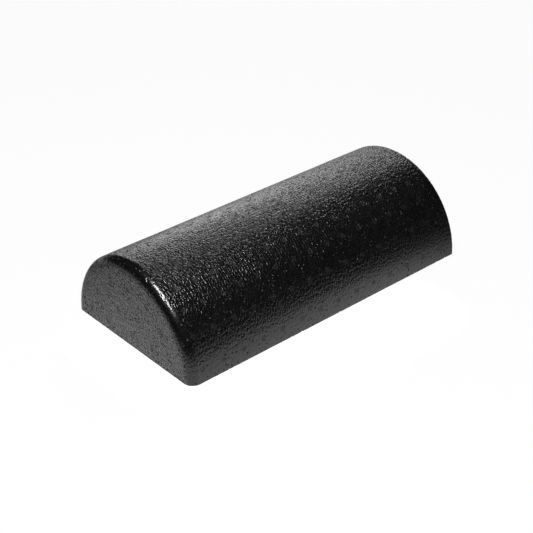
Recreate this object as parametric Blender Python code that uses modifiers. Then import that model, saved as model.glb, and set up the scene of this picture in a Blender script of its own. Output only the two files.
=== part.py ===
"""Half round foam roller, one block of moulded expanded polypropylene bead foam.

The block is made here in the order in which the real one is made. A full round is
moulded, with one rounded end, and the steam vents of its mould leave round marks in its
skin. The round is sawn to length, and then sawn in half lengthwise, which makes the flat
base. X runs along the roller, from the moulded end at -X to the sawn end at +X. Z is up,
and the origin is in the middle of the flat base.
"""

import math

import bmesh
import bpy
from mathutils import Matrix

# Driving sizes, in metres
ROLLER_LENGTH = 0.300
ROUND_DIAMETER = 0.1524
BASE_ABOVE_AXIS = 0.0012
END_ROUND_RADIUS = 0.009
MARK_DIAMETER = 0.0056
MARK_DEPTH = 0.0004
CUT_OVERRUN = 0.005

# Counts of facets
ROUND_SIDES = 144
END_ROUND_SEGMENTS = 6
MARK_SIDES = 10

# Vent marks on the curved face, a row at a time from the front edge of the base over
# the crown to the back edge: the share of the way round, and the shares of the length,
# measured from the moulded end, at which the row's first and last marks lie
MARK_ROW_SHARES = (
    (0.053, 0.042, 0.939),
    (0.165, 0.042, 0.917),
    (0.257, 0.047, 0.922),
    (0.334, 0.061, 0.924),
    (0.420, 0.050, 0.920),
    (0.510, 0.045, 0.915),
    (0.593, 0.049, 0.904),
    (0.680, 0.055, 0.920),
    (0.765, 0.045, 0.925),
    (0.850, 0.042, 0.915),
    (0.947, 0.042, 0.939),
)
MARKS_IN_ROW = (14, 14, 15, 15, 14, 14, 13, 14, 15, 14, 14)

# Vent marks on the moulded end, in rings about the axis of the round: the ring's share
# of the radius of the flat end, and its first mark's share of the step between marks
MARK_RING_SHARES = ((0.811, 0.53), (0.476, 0.59), (0.193, 0.66))
MARKS_IN_RING = (14, 8, 3)

# Sizes worked out from the driving ones
ROUND_RADIUS = ROUND_DIAMETER / 2
MARK_RADIUS = MARK_DIAMETER / 2
FLAT_END_RADIUS = ROUND_RADIUS - END_ROUND_RADIUS
BASE_EDGE_ANGLE = math.asin(BASE_ABOVE_AXIS / ROUND_RADIUS)

FOAM_COLOUR = (0.012, 0.012, 0.013, 1.0)
FOAM_ROUGHNESS = 0.55


def clear_scene():
    """Removes what the file holds, so that the script gives the same result each run."""
    for thing in list(bpy.data.objects):
        bpy.data.objects.remove(thing, do_unlink=True)
    for collection in list(bpy.data.collections):
        bpy.data.collections.remove(collection)


def new_collection(name):
    """A collection linked to the scene."""
    collection = bpy.data.collections.new(name)
    bpy.context.scene.collection.children.link(collection)
    return collection


def foam_material():
    """Black bead foam with the soft gloss of a moulded skin."""
    material = bpy.data.materials.new("black_bead_foam")
    material.use_nodes = True
    shader = material.node_tree.nodes["Principled BSDF"]
    shader.inputs["Base Color"].default_value = FOAM_COLOUR
    shader.inputs["Roughness"].default_value = FOAM_ROUGHNESS
    shader.inputs["Metallic"].default_value = 0.0
    return material


def add_object(name, bm, collection):
    """Turns a bmesh into a named object in a collection."""
    mesh = bpy.data.meshes.new(name)
    bm.to_mesh(mesh)
    bm.free()
    thing = bpy.data.objects.new(name, mesh)
    collection.objects.link(thing)
    return thing


def add_cutter(name, bm, collection):
    """An object that only cuts, shown as wire and left out of renders."""
    cutter = add_object(name, bm, collection)
    cutter.hide_render = True
    cutter.display_type = "WIRE"
    return cutter


def cut(target, cutter):
    """Takes the cutter's volume out of the target."""
    boolean = target.modifiers.new(f"cut by {cutter.name}", "BOOLEAN")
    boolean.operation = "DIFFERENCE"
    boolean.solver = "EXACT"
    boolean.object = cutter


def moulded_round():
    """The full round as it leaves the mould, lying along X about its own axis.

    Both ends start square. The edge of the moulded end is marked for the bevel that
    rounds it, and the sawn end stays sharp.
    """
    bm = bmesh.new()
    bmesh.ops.create_cone(
        bm,
        cap_ends=True,
        segments=ROUND_SIDES,
        radius1=ROUND_RADIUS,
        radius2=ROUND_RADIUS,
        depth=ROLLER_LENGTH,
        matrix=Matrix.Rotation(math.pi / 2, 4, "Y"),
    )
    for face in bm.faces:
        face.smooth = len(face.verts) == 4
    weight = bm.edges.layers.float.new("bevel_weight_edge")
    for edge in bm.edges:
        edge[weight] = float(all(corner.co.x < 0 for corner in edge.verts))
    return bm


def vent_pin(bm, placement):
    """Adds one round pin whose foot is MARK_DEPTH below the origin of its placement.

    It stands along the placement's Z axis, which points out of the skin.
    """
    height = MARK_DEPTH + CUT_OVERRUN
    bmesh.ops.create_cone(
        bm,
        cap_ends=True,
        segments=MARK_SIDES,
        radius1=MARK_RADIUS,
        radius2=MARK_RADIUS,
        depth=height,
        matrix=placement @ Matrix.Translation((0, 0, height / 2 - MARK_DEPTH)),
    )


def curved_face_placements():
    """Where the marks of the curved face lie, each with its Z axis along the radius."""
    sweep = math.pi - 2 * BASE_EDGE_ANGLE
    to_moulded_end = Matrix.Translation((-ROLLER_LENGTH / 2, 0, -BASE_ABOVE_AXIS))
    for (round_share, first_share, last_share), count in zip(MARK_ROW_SHARES, MARKS_IN_ROW):
        angle = BASE_EDGE_ANGLE + round_share * sweep
        turn = Matrix.Rotation(math.pi / 2 - angle, 4, "X")
        for place in range(count):
            share = first_share + (last_share - first_share) * place / (count - 1)
            out = Matrix.Translation((share * ROLLER_LENGTH, 0, ROUND_RADIUS))
            yield to_moulded_end @ turn @ out


def moulded_end_placements():
    """Where the marks of the moulded end lie, each with its Z axis along -X.

    The mould prints whole rings. Those below the saw cut, or closer above it than the
    width of a mark, are left out.
    """
    face_out = Matrix.Rotation(-math.pi / 2, 4, "Y")
    for (radius_share, start_share), count in zip(MARK_RING_SHARES, MARKS_IN_RING):
        radius = radius_share * FLAT_END_RADIUS
        for place in range(count):
            angle = (place + start_share) * math.tau / count
            height = radius * math.sin(angle) - BASE_ABOVE_AXIS
            if height > MARK_DIAMETER:
                across = -radius * math.cos(angle)
                yield Matrix.Translation((-ROLLER_LENGTH / 2, across, height)) @ face_out


def vent_pins():
    """All the pins that press marks into the half of the skin that is kept."""
    bm = bmesh.new()
    for placement in curved_face_placements():
        vent_pin(bm, placement)
    for placement in moulded_end_placements():
        vent_pin(bm, placement)
    return bm


def discarded_half():
    """A box over all that the lengthwise saw cut takes off, with its top at the base."""
    width = ROUND_DIAMETER + 2 * CUT_OVERRUN
    depth = ROUND_RADIUS + BASE_ABOVE_AXIS + CUT_OVERRUN
    bm = bmesh.new()
    size = Matrix.Diagonal((ROLLER_LENGTH + 2 * CUT_OVERRUN, width, depth, 1))
    below = Matrix.Translation((0, 0, -depth / 2))
    bmesh.ops.create_cube(bm, size=1, matrix=below @ size)
    return bm


def build_roller():
    """The half round foam block and the tools that shape it."""
    parts = new_collection("half_round_foam_roller")
    cutters = new_collection("cutters")

    block = add_object("half_round_foam_block", moulded_round(), parts)
    block.location = (0, 0, -BASE_ABOVE_AXIS)
    block.data.materials.append(foam_material())

    rounding = block.modifiers.new("moulded end round", "BEVEL")
    rounding.limit_method = "WEIGHT"
    rounding.width = END_ROUND_RADIUS
    rounding.segments = END_ROUND_SEGMENTS

    cut(block, add_cutter("vent_pins", vent_pins(), cutters))
    cut(block, add_cutter("saw_cut", discarded_half(), cutters))


clear_scene()
build_roller()
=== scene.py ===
# %% [markdown]
# # Half round foam roller
# A half round is a balance and therapy roller: half of a solid cylinder of black bead
# foam, 300 mm long, 152 mm across its flat base and 75 mm high. It is moulded as a full
# round from small beads of expanded polypropylene (EPP), then sawn to length and sawn in
# half lengthwise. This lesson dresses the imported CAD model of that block: it gives the
# skin its real relief, bead by bead, and finishes the moulded and the sawn faces.

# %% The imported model
import math

import bmesh
import bpy
from mathutils import Matrix, Vector, kdtree, noise


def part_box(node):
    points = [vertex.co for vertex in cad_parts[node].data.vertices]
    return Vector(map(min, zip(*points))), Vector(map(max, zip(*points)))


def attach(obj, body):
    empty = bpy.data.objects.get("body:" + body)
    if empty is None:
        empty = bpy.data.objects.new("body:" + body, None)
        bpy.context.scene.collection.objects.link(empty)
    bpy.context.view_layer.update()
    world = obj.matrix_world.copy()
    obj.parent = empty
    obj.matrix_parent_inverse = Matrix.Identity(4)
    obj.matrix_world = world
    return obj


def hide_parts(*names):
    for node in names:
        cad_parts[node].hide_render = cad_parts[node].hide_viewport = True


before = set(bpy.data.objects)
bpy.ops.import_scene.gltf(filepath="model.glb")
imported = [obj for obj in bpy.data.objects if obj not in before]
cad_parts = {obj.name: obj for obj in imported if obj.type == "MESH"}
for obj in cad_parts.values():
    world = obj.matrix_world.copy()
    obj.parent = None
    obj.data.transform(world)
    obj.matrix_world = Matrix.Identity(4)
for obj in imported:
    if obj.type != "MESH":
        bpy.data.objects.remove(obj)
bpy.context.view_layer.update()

MM = 0.001

low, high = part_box("half_round_foam_block")
print("CAD block, mm:", [round(side / MM, 2) for side in high - low])

# %% [markdown]
# ## The camera
# The photograph was solved for its camera: where it stood, how it was turned and how long
# its lens was, from the outline of the block. A camera in Blender looks along its own -Z,
# so its rotation is built from three directions: right, up and backwards. It is rolled by
# a sixth of a degree. The picture is square, and the lens belongs to a 36 mm sensor.

# %% Camera at the photograph's view
PICTURE_SIDE = 533
SENSOR_WIDTH = 36.0
FOCAL_PIXELS = 1251.8
CAMERA_PLACE = Vector((-615.1192, -680.9791, 580.6462)) * MM
CAMERA_AZIMUTH, CAMERA_RISE, CAMERA_ROLL = -0.730356, 0.553956, 0.002966
UPWARDS = Vector((0, 0, 1))


def direction(azimuth, rise):
    """A unit vector from the object: azimuth 0 is -Y and turns towards +X, rise is up."""
    level = math.cos(rise)
    return Vector((math.sin(azimuth) * level, -math.cos(azimuth) * level, math.sin(rise)))


def turned_to(side, upwards, backwards):
    """The rotation that puts an object's X, Y and Z along three directions."""
    return Matrix((side, upwards, backwards)).transposed().to_4x4()


backwards = direction(CAMERA_AZIMUTH, CAMERA_RISE)
level_right = UPWARDS.cross(backwards).normalized()
level_up = backwards.cross(level_right)
right = math.cos(CAMERA_ROLL) * level_right + math.sin(CAMERA_ROLL) * level_up
up = backwards.cross(right)

camera_data = bpy.data.cameras.new("photo_camera")
camera_data.sensor_width = SENSOR_WIDTH
camera_data.lens = FOCAL_PIXELS * SENSOR_WIDTH / PICTURE_SIDE
camera = bpy.data.objects.new("photo_camera", camera_data)
camera.matrix_world = Matrix.Translation(CAMERA_PLACE) @ turned_to(right, up, backwards)
bpy.context.scene.collection.objects.link(camera)
bpy.context.scene.camera = camera
print("lens, mm:", round(camera_data.lens, 2))

# %% [markdown]
# ## The plain block as a net of fine quads
# The relief of the skin needs a mesh that is even and fine, because every bead, seam and
# pore of it is moved in the mesh. A half round has the same kinds of face as a box: a
# base, two ends and the rest. So a box is cut into fine quads, and its points are wrapped
# onto the half round. That keeps every quad about half a millimetre wide, closes the block
# without a pole, and leaves crisp edges where the saw cut.
#
# The box's two sides and its top become the arc. Each side takes a quarter of it, and the
# top, which is twice as wide as a side is high, takes the half between them.

# %% Sizes of the block
ROUND_RADIUS = 76.15 * MM
BASE_ABOVE_AXIS = 1.2 * MM
END_ROUND_RADIUS = 9.0 * MM
HALF_LENGTH = 149.95 * MM
FINE_QUAD = 0.50 * MM
SIDE_SHARE = 0.25

ARC_LENGTH = math.pi * ROUND_RADIUS
END_ROUND_ARC = END_ROUND_RADIUS * math.pi / 2
STRAIGHT_LENGTH = 2 * HALF_LENGTH - END_ROUND_RADIUS
UP_CUTS = round(SIDE_SHARE * ARC_LENGTH / FINE_QUAD)
ACROSS_CUTS = 2 * UP_CUTS
ROUND_CUTS = round(END_ROUND_ARC / FINE_QUAD)
STRAIGHT_CUTS = round(STRAIGHT_LENGTH / FINE_QUAD)
ALONG_CUTS = ROUND_CUTS + STRAIGHT_CUTS
print("quads round the arc, along:", 2 * UP_CUTS + ACROSS_CUTS, ALONG_CUTS)


# %% A box of fine quads
TINY = 1e-6


def edges_along(bm, axis):
    """The edges of a box that run along one axis, 0 for X, 1 for Y or 2 for Z."""
    return [
        edge for edge in bm.edges
        if abs(edge.verts[0].co[axis] - edge.verts[1].co[axis]) > TINY
    ]


def fine_box():
    """A box from 0 to 1 along, -1 to 1 across and 0 to 1 up, cut into a net of quads."""
    bm = bmesh.new()
    to_shares = Matrix.Translation((0.5, 0, 0.5)) @ Matrix.Diagonal((1, 2, 1, 1))
    bmesh.ops.create_cube(bm, size=1, matrix=to_shares)
    for axis, quads in enumerate((ALONG_CUTS, ACROSS_CUTS, UP_CUTS)):
        bmesh.ops.subdivide_edges(
            bm, edges=edges_along(bm, axis), cuts=quads - 1, use_grid_fill=True
        )
    return bm


block_bm = fine_box()
print("points in the net:", len(block_bm.verts))

# %% [markdown]
# A point of the box is told by three shares: how far along it lies, and in the cross
# section how far across and how far up. In the cross section the box's rings go over
# into half rings, each a scaled copy of the outer one. Each point of the moulded skin
# also gets the direction out of it, because the relief is pressed in against that.

# %% Wrapping the box onto the half round
TO_MOULDED_END = Vector((-1, 0, 0))


def ring_share(across, rise):
    """The share of the half turn, 0 at the front base edge, of a point on a box ring."""
    if rise >= abs(across):
        return 0.5 + SIDE_SHARE * across / rise
    if across < 0:
        return SIDE_SHARE * rise / -across
    return 1 - SIDE_SHARE * rise / across


def end_round(along):
    """Radius, place along X and tilt of the normal at a share of the length.

    The tilt is 0 where the skin faces -X and a quarter turn where it faces outwards.
    """
    quads = along * ALONG_CUTS
    tilt = min(quads / ROUND_CUTS, 1) * math.pi / 2
    radius = ROUND_RADIUS - END_ROUND_RADIUS * (1 - math.sin(tilt))
    straight = max(quads - ROUND_CUTS, 0) / STRAIGHT_CUTS * STRAIGHT_LENGTH
    place = -HALF_LENGTH + END_ROUND_RADIUS * (1 - math.cos(tilt)) + straight
    return radius, place, tilt


def arc_point(radius, share):
    """Y, Z and the angle of a point on the arc, from the base's front edge to its back."""
    edge = math.asin(BASE_ABOVE_AXIS / radius)
    angle = edge + share * (math.pi - 2 * edge)
    return -radius * math.cos(angle), radius * math.sin(angle) - BASE_ABOVE_AXIS, angle


def wrap(shares):
    """Where a point of the box goes on the block, and the direction out of its skin.

    The direction is None on the sawn faces, which are the base and the end at +X.
    """
    along, across, rise = shares
    ring = max(abs(across), rise)
    flat_direction = TO_MOULDED_END if along < TINY else None
    radius, place, tilt = end_round(along)
    if ring < TINY:
        return Vector((place, 0, 0)), flat_direction
    y, z, angle = arc_point(radius, ring_share(across, rise))
    spot = Vector((place, ring * y, ring * z))
    on_arc = ring > 1 - TINY and (rise > TINY or abs(across) > 1 - TINY)
    if not on_arc:
        return spot, flat_direction
    outwards = Vector((0, -math.cos(angle), math.sin(angle)))
    return spot, math.cos(tilt) * TO_MOULDED_END + math.sin(tilt) * outwards


print("height of the crown, mm:", round(arc_point(ROUND_RADIUS, 0.5)[1] / MM, 2))

# %% [markdown]
# ## Where the steam vents left their marks
# The mould is full of round steam vents about 5.6 mm wide, in rows along the round and in
# rings on its end, and each leaves a faint mark in the skin. The marks lie where the CAD
# model has them. A row is told by its share of the half turn, and by the places of its
# first and last marks as shares of the length. A ring is told by its share of the flat
# end's radius and by how far it is turned, in steps from mark to mark. The ring marks that
# the saw cut would touch or nearly touch are left out. A tree of all the centres then
# tells how far any point of the skin is from the nearest one.

# %% Centres of the vent marks
MARK_RADIUS = 2.8 * MM
LOWEST_MARK = 2 * MARK_RADIUS
MARK_ROW_SHARES = (
    (0.053, 0.042, 0.939), (0.165, 0.042, 0.917), (0.257, 0.047, 0.922),
    (0.334, 0.061, 0.924), (0.420, 0.050, 0.920), (0.510, 0.045, 0.915),
    (0.593, 0.049, 0.904), (0.680, 0.055, 0.920), (0.765, 0.045, 0.925),
    (0.850, 0.042, 0.915), (0.947, 0.042, 0.939),
)
MARKS_IN_ROW = (14, 14, 15, 15, 14, 14, 13, 14, 15, 14, 14)
MARK_RING_SHARES = ((0.811, 0.53), (0.476, 0.59), (0.193, 0.66))
MARKS_IN_RING = (14, 8, 3)

mark_centres = []
for (row_share, first, last), count in zip(MARK_ROW_SHARES, MARKS_IN_ROW):
    y, z, _ = arc_point(ROUND_RADIUS, row_share)
    for place in range(count):
        share = first + (last - first) * place / (count - 1)
        mark_centres.append(Vector(((2 * share - 1) * HALF_LENGTH, y, z)))
for (radius_share, start), count in zip(MARK_RING_SHARES, MARKS_IN_RING):
    ring_radius = radius_share * (ROUND_RADIUS - END_ROUND_RADIUS)
    for place in range(count):
        angle = (place + start) * math.tau / count
        height = ring_radius * math.sin(angle) - BASE_ABOVE_AXIS
        if height > LOWEST_MARK:
            mark_centres.append(Vector((-HALF_LENGTH, -ring_radius * math.cos(angle), height)))

mark_tree = kdtree.KDTree(len(mark_centres))
for index, centre in enumerate(mark_centres):
    mark_tree.insert(centre, index)
mark_tree.balance()
print("vent marks:", len(mark_centres))

# %% [markdown]
# ## The relief of the skin
# Steam swells the beads against the hot mould wall. Each bead, 4 to 5 mm wide, stays a
# little domed, some seams between beads stay open, and pores are left where the steam
# escaped. All of it goes inwards from the mould wall, so the block never grows past its
# real size. Noise and cell patterns in space give each depth, and they run over the
# rounded edge onto the end without a break.
#
# Each cell of a pattern is one bead or one pore. What differs from one to the next, the
# tone of a bead or the size of a pore, is drawn from the place of its centre, multiplied
# by a number that makes the two draws differ. So every run draws the same.

# %% Shares, pores and beads
PORE_SPACING = 2.6 * MM
PORE_DRAW = 5.3
SMALLEST_PORE = 0.05 * MM
WIDEST_PORE = 0.85 * MM
PORE_FLOOR_SHARE = 0.55
BEAD_SPACING = 4.6 * MM
BEAD_DRAW = 3.7


def smooth_step(value, start, end):
    """0 before start, 1 after end, with a soft ramp between them."""
    t = min(max((value - start) / (end - start), 0), 1)
    return t * t * (3 - 2 * t)


def from_noise(value):
    """Noise from -1 to 1 as a share from 0 to 1. Noise in space can overshoot a little."""
    return min(max(0.5 + 0.5 * value, 0), 1)


def pore_at(spot):
    """How much of a pore a spot is. The pores differ in size."""
    near, centres = noise.voronoi(spot / PORE_SPACING, distance_metric="DISTANCE")
    size = from_noise(noise.cell(centres[0] * PORE_DRAW))
    radius = SMALLEST_PORE + (WIDEST_PORE - SMALLEST_PORE) * size
    return 1 - smooth_step(near[0] * PORE_SPACING, PORE_FLOOR_SHARE * radius, radius)


def bead_at(spot):
    """Distances to the beads nearest to a spot, and the tone from 0 to 1 of its own bead."""
    near, centres = noise.voronoi(spot / BEAD_SPACING, distance_metric="DISTANCE")
    return near, from_noise(noise.cell(centres[0] * BEAD_DRAW))


print("beads, pores, mm apart:", round(BEAD_SPACING / MM, 1), round(PORE_SPACING / MM, 1))

# %% [markdown]
# The depths of the dome, the seam and the pore add up, and a vent mark takes their place.
# Grit and a long, soft swell lie under all of it. The domes and the grit are calmer on
# the rounded edge, because beads pack best where the wall curves both ways. Widths of
# domes and seams are shares of a bead's width.

# %% How deep the skin's features go
DOME_DEPTH, DOME_REACH = 0.07 * MM, 0.55
SEAM_DEPTH, SEAM_WIDTH = 0.14 * MM, 0.16
OPEN_SEAM_SPACING = 7 * MM
SEAM_SHUT_BELOW, SEAM_OPEN_ABOVE = -0.2, 0.5
PORE_DEPTH = 0.70 * MM
MARK_DEPTH, MARK_RIM = 0.34 * MM, 0.6 * MM
GRIT_DEPTH, GRIT_SPACING = 0.06 * MM, 1.3 * MM
SWELL_DEPTH, SWELL_SPACING = 0.12 * MM, 32 * MM


def skin_relief(spot, near, calm):
    """Depth of the skin at a spot, how much of a vent mark it is, and of a pore."""
    dome = min(near[0] / DOME_REACH, 1) ** 2
    open_seam = noise.noise(spot / OPEN_SEAM_SPACING)
    seam = 1 - smooth_step(near[1] - near[0], 0, SEAM_WIDTH)
    seam *= smooth_step(open_seam, SEAM_SHUT_BELOW, SEAM_OPEN_ABOVE)
    mark = 1 - smooth_step(mark_tree.find(spot)[2], MARK_RADIUS - MARK_RIM, MARK_RADIUS)
    pore = pore_at(spot)
    beads = DOME_DEPTH * calm * dome + SEAM_DEPTH * seam + PORE_DEPTH * pore
    depth = (1 - mark) * beads + MARK_DEPTH * mark
    depth += GRIT_DEPTH * calm * from_noise(noise.noise(spot / GRIT_SPACING))
    depth += SWELL_DEPTH * from_noise(noise.noise(spot / SWELL_SPACING))
    return depth, mark, pore


deepest_skin = DOME_DEPTH + SEAM_DEPTH + PORE_DEPTH + GRIT_DEPTH + SWELL_DEPTH
print("no spot of the skin is deeper than, mm:", round(deepest_skin / MM, 2))

# %% [markdown]
# A saw or a hot wire opens the beads instead of pressing them, so the base and the far
# end are flatter. Each bead stands a hair higher or lower than the next, a fine seam runs
# round it, and open corners between three beads show as pores.

# %% How deep the sawn faces' features go
SAWN_STEP_DEPTH = 0.14 * MM
SAWN_GRIT_DEPTH = 0.08 * MM
SAWN_SEAM_DEPTH, SAWN_SEAM_WIDTH = 0.12 * MM, 0.13
SAWN_PORE_DEPTH, SAWN_PORE_WIDTH = 0.45 * MM, 0.16


def sawn_relief(spot, near, tone):
    """Depth of a sawn face at a spot, how much of a seam it is, and of a pore."""
    pore = 1 - smooth_step(near[2] - near[0], 0, SAWN_PORE_WIDTH)
    seam = 1 - smooth_step(near[1] - near[0], 0, SAWN_SEAM_WIDTH)
    grit = from_noise(noise.noise(spot / GRIT_SPACING))
    depth = SAWN_STEP_DEPTH * tone + SAWN_GRIT_DEPTH * grit
    return depth + SAWN_SEAM_DEPTH * seam + SAWN_PORE_DEPTH * pore, seam, pore


deepest_cut = SAWN_STEP_DEPTH + SAWN_GRIT_DEPTH + SAWN_SEAM_DEPTH + SAWN_PORE_DEPTH
print("no spot of a sawn face is deeper than, mm:", round(deepest_cut / MM, 2))

# %% [markdown]
# ## Pressing the relief into the block
# Each point is moved inwards by its depth. What the finishes need to know about a point
# is kept with it, as named attributes: the tone of its bead, whether it is in a vent mark,
# a pore or a seam between sawn beads, how strong the leather grain is there, whether it
# lies on the edge round or on the flat moulded end, and whether it touched the mould.
#
# The grain that the mould wall prints is the finest part of the skin, so it is left to
# the finish, but its strength is settled here. As in the photograph it is weaker low on
# the sides and in the vent marks, and the edge round keeps little of it, most of that low
# down. On the flat end it is stronger.

# %% How strong the leather grain is
GRAIN_LOST_IN_MARK = 0.7
GRAIN_LOST_ON_ROUND, GRAIN_BACK_LOW_ON_ROUND = 0.89, 0.60
GRAIN_LOST_LOW = 0.45
LOW_UP_TO, FULL_FROM = 18 * MM, 40 * MM
GRAIN_GAINED_ON_END = 1.6


def grain_at(spot, mark, on_round, on_end):
    """Strength of the grain: 1 is that of the open arc."""
    low = 1 - smooth_step(spot.z, LOW_UP_TO, FULL_FROM)
    lost_on_round = (GRAIN_LOST_ON_ROUND - GRAIN_BACK_LOW_ON_ROUND * low) * on_round
    lost_low = GRAIN_LOST_LOW * low * (1 - on_end) * (1 - on_round)
    grain = (1 - GRAIN_LOST_IN_MARK * mark) * (1 - lost_on_round) * (1 - lost_low)
    return grain * (1 + GRAIN_GAINED_ON_END * on_end)


print("grain at the foot of the arc:", round(grain_at(Vector((0, 0, 0)), 0, 0, 0), 2))

# %% [markdown]
# How far the skin has turned from the arc to the end tells where the edge round is. That
# share times what is left of it to 1 is largest halfway. Times a factor, and cut off at
# 1, it makes the round count in full over about half of its width and fade out at both
# edges. The saw cut is flat, so no point may be pressed below the base.

# %% Pressing one point
ROUND_FACTOR = 6.4
END_FROM, END_FULL = 0.85, 0.99
CALM_ON_ROUND = 0.7


def note(point, layers, **notes):
    """Keeps named numbers with a point of the mesh."""
    for name, number in notes.items():
        point[layers[name]] = number


def press_skin(point, spot, outwards, layers):
    """Presses the relief into one point of the moulded skin and notes what it is."""
    facing_end = max(-outwards.x, 0)
    on_round = min(ROUND_FACTOR * facing_end * (1 - facing_end), 1)
    on_end = smooth_step(facing_end, END_FROM, END_FULL)
    near, tone = bead_at(spot)
    depth, mark, pore = skin_relief(spot, near, 1 - CALM_ON_ROUND * on_round)
    point.co = spot - depth * outwards
    point.co.z = max(point.co.z, 0)
    note(
        point, layers, bead_tone=tone, vent_mark=mark, pore=pore, edge_round=on_round,
        flat_end=on_end, grain=grain_at(spot, mark, on_round, on_end), moulded=1
    )


def saw_face(point, spot, inwards, layers):
    """Presses the relief into one point of a sawn face and notes what it is."""
    near, tone = bead_at(spot)
    depth, seam, pore = sawn_relief(spot, near, tone)
    point.co = spot + depth * inwards
    note(point, layers, bead_tone=tone, seam=seam, pore=pore)


# %% [markdown]
# A face with a point that never touched the mould was cut by the saw, and takes the sawn
# finish, which is the second material. The skin is shaded smooth, but the edges where it
# meets a sawn face stay sharp.

# %% Building the block
NOTES = ("bead_tone", "vent_mark", "pore", "seam", "grain", "edge_round", "flat_end", "moulded")


def press_relief(bm):
    """Wraps the fine box onto the half round and presses the relief into it."""
    layers = {name: bm.verts.layers.float.new(name) for name in NOTES}
    for point in bm.verts:
        on_base = point.co.z < TINY
        spot, outwards = wrap(point.co)
        if outwards is not None:
            press_skin(point, spot, outwards, layers)
        else:
            saw_face(point, spot, UPWARDS if on_base else TO_MOULDED_END, layers)
    for face in bm.faces:
        face.smooth = True
        face.material_index = int(not all(point[layers["moulded"]] for point in face.verts))
    for edge in bm.edges:
        if len({face.material_index for face in edge.link_faces}) == 2:
            edge.smooth = False
    bmesh.ops.recalc_face_normals(bm, faces=bm.faces[:])


def add_object(name, bm):
    """A new object in the scene with the mesh of a bmesh, which is then done with."""
    mesh = bpy.data.meshes.new(name)
    bm.to_mesh(mesh)
    bm.free()
    new = bpy.data.objects.new(name, mesh)
    bpy.context.scene.collection.objects.link(new)
    return new


press_relief(block_bm)
block = add_object("bead_foam_half_round", block_bm)
sawn_faces = sum(face.material_index for face in block.data.polygons)
print("quads in the block:", len(block.data.polygons), "of them sawn:", sawn_faces)

# %% [markdown]
# ## Tools for the finishes
# Colours are written as they look on a screen, in sRGB hex, and one function turns them
# into the linear numbers that a shader works with. Pattern sizes are real millimetres:
# a texture's scale is the number of its features in one metre. Blender's Mix node has
# sockets of the same name for numbers and colours, so its colour sockets go by number.

# %% Colour and node helpers
MIX_SHARE, MIX_FIRST, MIX_SECOND, MIX_COLOUR = 0, 6, 7, 2


def linear(hex_colour):
    """Linear RGBA of an sRGB colour written as hex."""
    shares = [int(hex_colour[i:i + 2], 16) / 255 for i in (1, 3, 5)]
    return [s / 12.92 if s <= 0.04045 else ((s + 0.055) / 1.055) ** 2.4 for s in shares] + [1]


def per_metre(millimetres):
    """The texture scale whose features are that many millimetres wide."""
    return 1000 / millimetres


def add_node(tree, kind, settings=None, inputs=None, links=None):
    """A node with its settings, input values and links from other nodes' outputs."""
    node = tree.nodes.new(kind)
    for name, value in (settings or {}).items():
        setattr(node, name, value)
    for name, value in (inputs or {}).items():
        node.inputs[name].default_value = value
    for name, output in (links or {}).items():
        tree.links.new(output, node.inputs[name])
    return node


def new_material(name):
    """An empty node material, its tree and its output node."""
    material = bpy.data.materials.new(name)
    material.use_nodes = True
    tree = material.node_tree
    tree.nodes.clear()
    return material, tree, add_node(tree, "ShaderNodeOutputMaterial")


def noted(tree, name):
    """What was noted for each point of the mesh under a name."""
    return add_node(tree, "ShaderNodeAttribute", {"attribute_name": name}).outputs["Fac"]


print("middle grey #808080 in linear numbers:", round(linear("#808080")[0], 3))

# %% [markdown]
# Beads of one batch differ a little in tone, on the skin and where they are cut. The tone noted
# with each point gives every bead its own tone between two colours. Painted sheen, seams and
# pores then cover it with theirs, and the pores come last, darkest, with shade painted into
# them.

# %% Colour of the beads
def bead_shades(tree, dark, light):
    """The colour of the foam: each bead in its own shade between two colours."""
    return add_node(
        tree, "ShaderNodeMix", {"data_type": "RGBA"},
        {MIX_FIRST: linear(dark), MIX_SECOND: linear(light)},
        {MIX_SHARE: noted(tree, "bead_tone")},
    ).outputs[MIX_COLOUR]


def covered(tree, colour, share, cover):
    """A colour covered with another one where the share, from 0 to 1, says so."""
    return add_node(
        tree, "ShaderNodeMix", {"data_type": "RGBA"}, {MIX_SECOND: linear(cover)},
        {MIX_SHARE: share, MIX_FIRST: colour},
    ).outputs[MIX_COLOUR]


# %% [markdown]
# ## Moulded EPP skin
# Common name: expanded polypropylene bead foam, black, steam moulded. The hot mould wall
# melts the outermost cells into a thin skin, so it is glazed rather than matt: a near
# black body with a soft, broken gloss. Pores have no glaze. Polypropylene's own index of
# refraction is about 1.49, and 1.55 matches the gloss in the photograph.
#
# The wall's own texture prints a leather grain of pebbles about 2.6 mm wide, drawn out
# round the arc to 4 mm. Between smooth pebbles run narrow steep grooves, and those make
# the skin sparkle: their walls catch lamps that the flat pebbles don't see. The grooves
# are finer than the mesh, so they are drawn as bump, from a flat cell pattern. On the arc
# the cells are laid out along X and round the hoop, which is the angle about the axis
# times the radius. On the flat end they are laid out across and up.

# %% Flat coordinates for the grain
HOOP_STRETCH = 1.6


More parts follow.
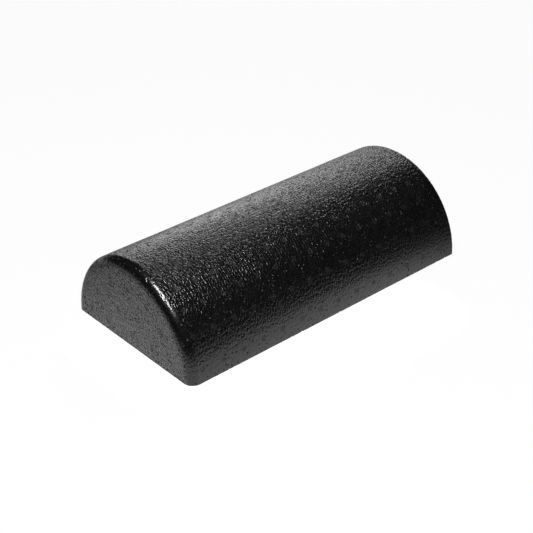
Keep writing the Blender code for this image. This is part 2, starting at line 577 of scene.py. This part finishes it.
def skin_nets(tree, place):
    """Flat coordinates for the grain: rolled out along the arc, and on the moulded end."""
    parts = add_node(tree, "ShaderNodeSeparateXYZ", links={"Vector": place})
    above_axis = add_node(
        tree, "ShaderNodeMath", {"operation": "ADD"}, {1: BASE_ABOVE_AXIS},
        {0: parts.outputs["Z"]},
    )
    to_front = add_node(
        tree, "ShaderNodeMath", {"operation": "MULTIPLY"}, {1: -1.0}, {0: parts.outputs["Y"]}
    )
    angle = add_node(
        tree, "ShaderNodeMath", {"operation": "ARCTAN2"},
        links={0: above_axis.outputs["Value"], 1: to_front.outputs["Value"]},
    )
    hoop = add_node(
        tree, "ShaderNodeMath", {"operation": "MULTIPLY"}, {1: ROUND_RADIUS / HOOP_STRETCH},
        {0: angle.outputs["Value"]},
    )
    rolled_out = add_node(
        tree, "ShaderNodeCombineXYZ", links={"X": parts.outputs["X"], "Y": hoop.outputs["Value"]}
    )
    end_flat = add_node(
        tree, "ShaderNodeCombineXYZ", links={"X": parts.outputs["Y"], "Y": parts.outputs["Z"]}
    )
    return rolled_out.outputs["Vector"], end_flat.outputs["Vector"]


# %% [markdown]
# A slow noise sways the cells, so that no line of pebbles runs straight. On the arc a
# pebble's height comes from the distance to the edge of its cell, which gives flat pebbles
# with a groove round each. On the flat end it comes from the distance to the centre, and
# the pebbles stand apart as round dots. Both distances are shares of a cell.

# %% The leather grain
PEBBLE_SPACING = 2.6
PEBBLE_DISORDER = 0.8
SWAY, SWAY_SPACING = 1.2 * MM, 7
ARC_PEBBLE = {"feature": "DISTANCE_TO_EDGE", "low_at": 0.0, "top_at": 0.26}
END_PEBBLE = {"feature": "F1", "low_at": 0.50, "top_at": 0.15}


def pebbles_on(tree, net, sway, pebble):
    """Height of the pebbles on one net of flat coordinates, from 0 in a groove to 1."""
    swayed = add_node(
        tree, "ShaderNodeVectorMath", {"operation": "MULTIPLY_ADD"},
        {1: (SWAY, SWAY, SWAY)}, {0: sway.outputs["Color"], 2: net},
    )
    cells = add_node(
        tree, "ShaderNodeTexVoronoi",
        {"feature": pebble["feature"], "voronoi_dimensions": "2D"},
        {"Scale": per_metre(PEBBLE_SPACING), "Randomness": PEBBLE_DISORDER},
        {"Vector": swayed.outputs["Vector"]},
    )
    return add_node(
        tree, "ShaderNodeMapRange", {"interpolation_type": "SMOOTHSTEP"},
        {"From Min": pebble["low_at"], "From Max": pebble["top_at"]},
        {"Value": cells.outputs["Distance"]},
    ).outputs["Result"]


def leather_grain(tree, place):
    """Height of the grain from 0 in the grooves to 1 on top, faded where it is weaker."""
    sway = add_node(
        tree, "ShaderNodeTexNoise", {}, {"Scale": per_metre(SWAY_SPACING), "Detail": 1.0},
        {"Vector": place},
    )
    arc_net, end_net = skin_nets(tree, place)
    on_arc = pebbles_on(tree, arc_net, sway, ARC_PEBBLE)
    on_end = pebbles_on(tree, end_net, sway, END_PEBBLE)
    pebble = add_node(
        tree, "ShaderNodeMapRange", {}, {},
        {"Value": noted(tree, "flat_end"), "To Min": on_arc, "To Max": on_end},
    )
    return add_node(
        tree, "ShaderNodeMath", {"operation": "MULTIPLY"},
        links={0: pebble.outputs["Result"], 1: noted(tree, "grain")},
    ).outputs["Value"]


print("pebbles in a metre:", round(per_metre(PEBBLE_SPACING)))

# %% [markdown]
# Dimples about 1.6 mm apart lie over the grain. They are faint on the skin, and inside a
# vent mark, where the steam's nozzle is a plate of fine holes, they take over from the
# grain. A last soft unevenness of 2 mm keeps every reflection from looking ruled.

# %% Bump of the skin
GRAIN_HEIGHT = 0.180 * MM
DIMPLE_SPACING = 1.6
DIMPLE_DISORDER = 0.8
DIMPLE_ON_SKIN, DIMPLE_IN_MARK = 0.35, 2.4
GRIT_BUMP, GRIT_BUMP_SPACING = 0.06 * MM, 2.0


def skin_normal(tree, place):
    """The normal of the moulded skin: leather grain, dimples and fine grit."""
    dimples = add_node(
        tree, "ShaderNodeTexVoronoi", {"feature": "F1"},
        {"Scale": per_metre(DIMPLE_SPACING), "Randomness": DIMPLE_DISORDER},
        {"Vector": place},
    )
    dimple_share = add_node(
        tree, "ShaderNodeMapRange", {}, {"To Min": DIMPLE_ON_SKIN, "To Max": DIMPLE_IN_MARK},
        {"Value": noted(tree, "vent_mark")},
    )
    height = add_node(
        tree, "ShaderNodeMath", {"operation": "MULTIPLY_ADD"},
        links={
            0: dimples.outputs["Distance"], 1: dimple_share.outputs["Result"],
            2: leather_grain(tree, place),
        },
    )
    grit = add_node(
        tree, "ShaderNodeTexNoise", {},
        {"Scale": per_metre(GRIT_BUMP_SPACING), "Detail": 1.0}, {"Vector": place},
    )
    gritty = add_node(
        tree, "ShaderNodeBump", {}, {"Strength": 1.0, "Distance": GRIT_BUMP},
        {"Height": grit.outputs["Fac"]},
    )
    return add_node(
        tree, "ShaderNodeBump", {}, {"Strength": 1.0, "Distance": GRAIN_HEIGHT},
        {"Height": height.outputs["Value"], "Normal": gritty.outputs["Normal"]},
    ).outputs["Normal"]


print("grooves between pebbles are, mm deep:", round(GRAIN_HEIGHT / MM, 2))

# %% [markdown]
# The glaze is even on the arc. On the flat end it changes in patches, where the beads
# were pressed less hard. Pores and vent marks are duller. The edge round is the glossiest,
# because the hot wall reaches its beads from two sides.

# %% Roughness of the glaze
GLAZE = 0.2745
ARC_GLAZE_CHANGE = 0.0105
END_GLAZE_CHANGE = 0.07
PATCH_SPACING = 14
PATCH_FROM, PATCH_FULL = 0.35, 0.65
DULLNESS = {"vent_mark": 0.16, "pore": 0.55, "edge_round": -0.035}


def skin_roughness(tree, place):
    """Roughness of the glaze, from smooth patches to dull pores."""
    patches = add_node(
        tree, "ShaderNodeTexNoise", {}, {"Scale": per_metre(PATCH_SPACING), "Detail": 3.0},
        {"Vector": place},
    )
    dullest = add_node(
        tree, "ShaderNodeMath", {"operation": "MULTIPLY_ADD"},
        {1: END_GLAZE_CHANGE, 2: GLAZE + ARC_GLAZE_CHANGE}, {0: noted(tree, "flat_end")},
    )
    rough = add_node(
        tree, "ShaderNodeMapRange", {},
        {"From Min": PATCH_FROM, "From Max": PATCH_FULL, "To Min": GLAZE},
        {"Value": patches.outputs["Fac"], "To Max": dullest.outputs["Value"]},
    ).outputs["Result"]
    for name, duller in DULLNESS.items():
        rough = add_node(
            tree, "ShaderNodeMath", {"operation": "MULTIPLY_ADD"}, {1: duller},
            {0: noted(tree, name), 2: rough},
        ).outputs["Value"]
    return rough


print("roughness of the arc:", GLAZE, "to", round(GLAZE + ARC_GLAZE_CHANGE, 4))

# %% [markdown]
# The flat end is greyer than the arc, in fine specks of its sheen. Its grey comes from the floor
# it reflects, and the specks are painted sheen: a noise with features of 1.6 mm covers the beads
# there with grey.

# %% The moulded finish
EPP_IOR = 1.55
SKIN_SHADES = ("#070708", "#0e0e0f")
# Grey of the painted sheen: specks on the flat end that stand in for the mottle of its
# reflection.
PAINTED_SHEEN_GREY = "#414143"
# Painted shade: the colour that darkens the pores, which are shaded hollows.
SKIN_PORE_SHADE = "#060606"
SHEEN_SPECK_SPACING = 1.6
SHEEN_SPECKS_FROM, SHEEN_SPECKS_FULL = 0.46, 0.60


def skin_colour(tree, place):
    """Near black beads, with painted sheen as grey specks on the flat end and painted shade in
    the pores.
    """
    sheen_noise = add_node(
        tree, "ShaderNodeTexNoise", {}, {"Scale": per_metre(SHEEN_SPECK_SPACING), "Detail": 2.0},
        {"Vector": place},
    )
    sheen_specks = add_node(
        tree, "ShaderNodeMapRange", {}, {"From Min": SHEEN_SPECKS_FROM, "From Max": SHEEN_SPECKS_FULL},
        {"Value": sheen_noise.outputs["Fac"], "To Max": noted(tree, "flat_end")},
    )
    beads = bead_shades(tree, *SKIN_SHADES)
    # Painted sheen: grey specks over the beads on the flat end.
    glazed = covered(tree, beads, sheen_specks.outputs["Result"], PAINTED_SHEEN_GREY)
    # Painted shade: the pores are darkened in colour.
    return covered(tree, glazed, noted(tree, "pore"), SKIN_PORE_SHADE)


def moulded_skin():
    """Near black glazed skin of moulded bead foam."""
    material, tree, output = new_material("moulded_epp_bead_skin")
    place = add_node(tree, "ShaderNodeTexCoord").outputs["Object"]
    shader = add_node(
        tree, "ShaderNodeBsdfPrincipled", {}, {"IOR": EPP_IOR},
        {
            "Base Color": skin_colour(tree, place),
            "Roughness": skin_roughness(tree, place),
            "Normal": skin_normal(tree, place),
        },
    )
    tree.links.new(shader.outputs["BSDF"], output.inputs["Surface"])
    return material


block.data.materials.append(moulded_skin())
print("finish of the skin:", block.data.materials[0].name)

# %% [markdown]
# ## Sawn EPP beads
# The same foam, cut. The saw opens thousands of cells in each bead, which have no glaze at all,
# so the face is matt and a shade greyer, with each bead in its own tone and a dark seam round
# it. The open corners between beads are darker with painted shade. The real cells are 0.3 to 0.5
# mm wide, too fine for a picture of the whole roller, so they are drawn 1 mm wide.

# %% The sawn finish
SAWN_SHADES = ("#222223", "#434346")
SAWN_SEAM = "#0d0d0e"
# Painted shade: the colour that darkens the open corners between sawn beads.
SAWN_PORE_SHADE = "#080808"
CELL_SPACING = 1.0
CELL_BUMP = 0.22 * MM
DARK_BEAD_ROUGHNESS, LIGHT_BEAD_ROUGHNESS = 0.68, 0.82


def sawn_beads():
    """Matt charcoal face of cut bead foam."""
    material, tree, output = new_material("sawn_epp_beads")
    place = add_node(tree, "ShaderNodeTexCoord").outputs["Object"]
    beads = bead_shades(tree, *SAWN_SHADES)
    seamed = covered(tree, beads, noted(tree, "seam"), SAWN_SEAM)
    cells = add_node(
        tree, "ShaderNodeTexVoronoi", {"feature": "F1"}, {"Scale": per_metre(CELL_SPACING)},
        {"Vector": place},
    )
    bump = add_node(
        tree, "ShaderNodeBump", {}, {"Strength": 1.0, "Distance": CELL_BUMP},
        {"Height": cells.outputs["Distance"]},
    )
    rough = add_node(
        tree, "ShaderNodeMapRange", {},
        {"To Min": DARK_BEAD_ROUGHNESS, "To Max": LIGHT_BEAD_ROUGHNESS},
        {"Value": noted(tree, "bead_tone")},
    )
    shader = add_node(
        tree, "ShaderNodeBsdfPrincipled", {}, {"IOR": EPP_IOR},
        {
            # Painted shade darkens the open corners between beads.
            "Base Color": covered(tree, seamed, noted(tree, "pore"), SAWN_PORE_SHADE),
            "Roughness": rough.outputs["Result"],
            "Normal": bump.outputs["Normal"],
        },
    )
    tree.links.new(shader.outputs["BSDF"], output.inputs["Surface"])
    return material


block.data.materials.append(sawn_beads())
print("finish of the sawn faces:", block.data.materials[1].name)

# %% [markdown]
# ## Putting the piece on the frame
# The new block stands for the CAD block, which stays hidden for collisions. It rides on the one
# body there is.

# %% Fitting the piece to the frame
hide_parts("half_round_foam_block")
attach(block, "root")
print("piece:", block.name)

# %% [markdown]
# ## The floor
# White paper that still holds some of the block's shadow. The camera sees it white by its own
# light, mixed near the block with a little of the lit paper, so that it meets the white of the
# room without a line. Black glazed foam shows its shape by what it reflects, so what a gloss
# sees of the floor matters as much: there the paper glows with painted light, brightest in a
# pool round the near end of the block, fading away from it, and bright again half a metre
# behind, under the back lamp.

# %% How bright the floor's painted glow is in a reflection
POOL_CENTRE = (-0.048, -0.05, 0)
POOL_HALF_SIZE = (0.102, 0.066, 0)
POOL_FADE = 0.20
BEHIND_FROM, BEHIND_FULL = 0.20, 0.50
POOL_LEVEL, FAR_LEVEL, BEHIND_LEVEL = 1.15, 0.10, 0.75
ZERO = (0, 0, 0)


def painted_floor_glow(tree):
    """Brightness of the floor's painted glow in a gloss: a rectangle of light with a soft edge.
    """
    place = add_node(tree, "ShaderNodeTexCoord").outputs["Object"]
    spot = place
    for operation, amount in (
        ("SUBTRACT", POOL_CENTRE), ("ABSOLUTE", ZERO),
        ("SUBTRACT", POOL_HALF_SIZE), ("MAXIMUM", ZERO),
    ):
        spot = add_node(
            tree, "ShaderNodeVectorMath", {"operation": operation}, {1: amount}, {0: spot}
        ).outputs["Vector"]
    outside = add_node(tree, "ShaderNodeVectorMath", {"operation": "LENGTH"}, links={0: spot})
    pool = add_node(
        tree, "ShaderNodeMapRange", {"interpolation_type": "SMOOTHSTEP"},
        {"From Min": 0.0, "From Max": POOL_FADE, "To Min": POOL_LEVEL, "To Max": FAR_LEVEL},
        {"Value": outside.outputs["Value"]},
    )
    across = add_node(tree, "ShaderNodeSeparateXYZ", links={"Vector": place}).outputs["Y"]
    behind = add_node(
        tree, "ShaderNodeMapRange", {"interpolation_type": "SMOOTHSTEP"},
        {
            "From Min": BEHIND_FROM, "From Max": BEHIND_FULL,
            "To Min": 0.0, "To Max": BEHIND_LEVEL,
        },
        {"Value": across},
    )
    return add_node(
        tree, "ShaderNodeMath", {"operation": "MAXIMUM"},
        links={0: pool.outputs["Result"], 1: behind.outputs["Result"]},
    ).outputs["Value"]


print("pool of light on the floor, mm:", [round(2 * half / MM) for half in POOL_HALF_SIZE[:2]])

# %% How much of the paper is its own light
OWN_LIGHT_NEAR = 0.90
NEAR, FAR = 0.45, 1.60


def own_light(tree):
    """How much of the paper is its own light: more with the distance from the block."""
    place = add_node(tree, "ShaderNodeTexCoord").outputs["Object"]
    distance = add_node(
        tree, "ShaderNodeVectorMath", {"operation": "LENGTH"}, links={0: place}
    )
    return add_node(
        tree, "ShaderNodeMapRange", {"interpolation_type": "SMOOTHSTEP"},
        {"From Min": NEAR, "From Max": FAR, "To Min": OWN_LIGHT_NEAR, "To Max": 1.0},
        {"Value": distance.outputs["Value"]},
    ).outputs["Result"]


# %% [markdown]
# Light Path tells what looks at the paper. To the camera its own light is at least plain white,
# to a gloss it is the painted glow of the floor, and to every other ray the paper is just matt
# paper, which takes the block's shadow and lights the block from below.

# %% Floor
PAPER = "#ececec"
FLOOR_SIDE = 8.0
FLOOR_GAP = 0.3 * MM


def white_paper():
    """Matt white paper, mostly its own glow where the camera or a gloss sees it: white to the
    camera, a painted pool of light to a gloss.
    """
    material, tree, output = new_material("white_paper_floor")
    paper = add_node(tree, "ShaderNodeBsdfDiffuse", {}, {"Color": linear(PAPER)})
    rays = add_node(tree, "ShaderNodeLightPath").outputs
    strength = add_node(
        tree, "ShaderNodeMath", {"operation": "MAXIMUM"},
        links={0: painted_floor_glow(tree), 1: rays["Is Camera Ray"]},
    )
    white = add_node(
        tree, "ShaderNodeEmission", {}, {"Color": (1, 1, 1, 1)},
        {"Strength": strength.outputs["Value"]},
    )
    seen = rays["Is Camera Ray"]
    for name in ("Is Glossy Ray", "Is Transmission Ray"):
        seen = add_node(
            tree, "ShaderNodeMath", {"operation": "MAXIMUM"}, links={0: seen, 1: rays[name]}
        ).outputs["Value"]
    share = add_node(
        tree, "ShaderNodeMath", {"operation": "MULTIPLY"}, links={0: seen, 1: own_light(tree)}
    )
    mix = add_node(
        tree, "ShaderNodeMixShader", {}, {},
        {0: share.outputs["Value"], 1: paper.outputs["BSDF"], 2: white.outputs["Emission"]},
    )
    tree.links.new(mix.outputs["Shader"], output.inputs["Surface"])
    return material


floor_bm = bmesh.new()
bmesh.ops.create_grid(floor_bm, x_segments=1, y_segments=1, size=FLOOR_SIDE / 2)
bmesh.ops.translate(floor_bm, verts=floor_bm.verts[:], vec=(0, 0, -FLOOR_GAP))
floor = add_object("floor", floor_bm)
floor.data.materials.append(white_paper())
print("floor, m wide:", FLOOR_SIDE)

# %% [markdown]
# ## The lamps
# Two soft boxes light the scene: a key overhead, a little to the left, and a tall panel
# behind on the right. The panel's reflection draws the crown, and it leans over so that it
# follows the crown from the near end to the far one. It is narrow, because that gives
# every pebble of the grain a bright and a dark side.
#
# The photograph's streak on the rounded edge is the reflection of a lamp much narrower
# and brighter than would light paper at a plain level. So the key is kept out of
# reflections, and a narrow strip close to it, seen by reflections alone, draws the streak
# and the sparkle.

# %% Lamps
CROWN = (0, 0, 0.05)
ALONG_KEY = (0.19, 0.98, 0)
ALONG_PANEL = (0.284, -0.61, 0.74)
KEY_PLACE, KEY_SIZE, KEY_RADIANCE = (-0.44, -0.40, 1.20), (0.30, 1.20), 19.0
STRIP_PLACE, STRIP_SIZE, STRIP_RADIANCE = (-0.457, -0.27, 1.19), (0.08, 0.70), 120.0
PANEL_PLACE, PANEL_SIZE, PANEL_RADIANCE = (1.070, 1.120, 0.696), (0.38, 1.85), 3.85


def soft_box(name, place, size, radiance, along):
    """A rectangular lamp turned to the crown, with its length along a direction.

    An area lamp sends out its watts from its face, so they are the radiance times pi
    times the area.
    """
    width, length = size
    data = bpy.data.lights.new(name, "AREA")
    data.shape = "RECTANGLE"
    data.size, data.size_y = width, length
    data.energy = radiance * math.pi * width * length
    print(name, "watts:", round(data.energy, 1))
    back = (Vector(place) - Vector(CROWN)).normalized()
    side = Vector(along).cross(back).normalized()
    lamp = bpy.data.objects.new(name, data)
    lamp.matrix_world = Matrix.Translation(place) @ turned_to(side, back.cross(side), back)
    lamp.visible_camera = False
    bpy.context.scene.collection.objects.link(lamp)
    return lamp


key = soft_box("overhead_key", KEY_PLACE, KEY_SIZE, KEY_RADIANCE, ALONG_KEY)
key.visible_glossy = False
strip = soft_box("overhead_strip", STRIP_PLACE, STRIP_SIZE, STRIP_RADIANCE, ALONG_KEY)
strip.visible_diffuse = False
soft_box("back_panel", PANEL_PLACE, PANEL_SIZE, PANEL_RADIANCE, ALONG_PANEL)

# %% [markdown]
# ## The room
# Apart from the lamps and the paper the studio is nearly dark, which is why the front of
# the arc stays black. The camera itself sees white all round. Standard view shows colours
# as written.

# %% World
ROOM_LEVEL = 0.012

world = bpy.data.worlds.new("studio")
world.use_nodes = True
bpy.context.scene.world = world
world.node_tree.nodes.clear()
path = add_node(world.node_tree, "ShaderNodeLightPath")
surround = add_node(
    world.node_tree, "ShaderNodeMix", {"data_type": "RGBA"},
    {MIX_FIRST: (ROOM_LEVEL, ROOM_LEVEL, ROOM_LEVEL, 1), MIX_SECOND: (1, 1, 1, 1)},
    {MIX_SHARE: path.outputs["Is Camera Ray"]},
)
shown = add_node(
    world.node_tree, "ShaderNodeBackground", {}, {"Strength": 1.0},
    {"Color": surround.outputs[MIX_COLOUR]},
)
add_node(
    world.node_tree, "ShaderNodeOutputWorld", links={"Surface": shown.outputs["Background"]}
)
bpy.context.scene.view_settings.view_transform = "Standard"
print("level of the room in a reflection:", ROOM_LEVEL)
